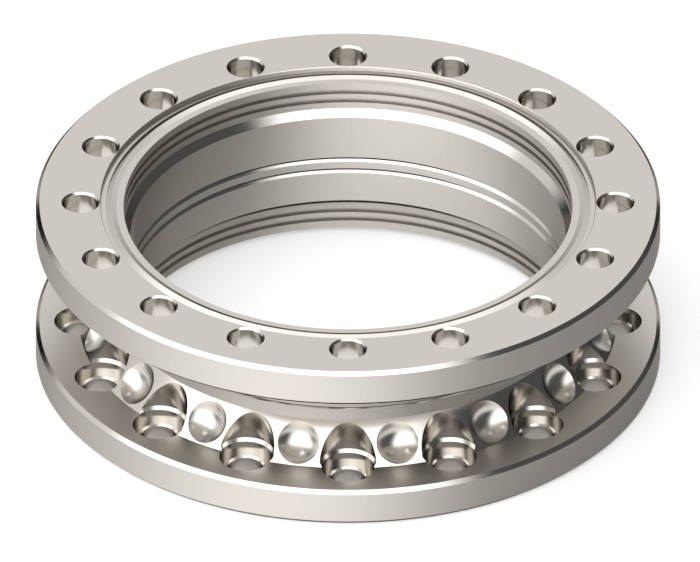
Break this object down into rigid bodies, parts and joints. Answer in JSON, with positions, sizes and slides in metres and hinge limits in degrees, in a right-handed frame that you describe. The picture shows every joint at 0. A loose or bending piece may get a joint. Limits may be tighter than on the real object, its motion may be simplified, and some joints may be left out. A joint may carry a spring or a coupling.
{
  "type": "vacuum close coupler",
  "caption": "Short stainless steel spool that joins two knife-edge vacuum flanges face to face, with a stepped bore, nut pockets and ball-cut dimples in its necked waist.",
  "frame": {"origin": "centre of the bottom face, on the axis of the bore", "axes": "+Z along the bore, from the bottom flange to the top flange; -Y passes through a bolt hole of each flange"},
  "size_m": [0.152, 0.152, 0.044],
  "materials": {
    "turned_stainless": "fine turned, bright"
  },
  "bodies": {
    "root": {"coupler_body": "turned_stainless"}
  },
  "joints": []
}
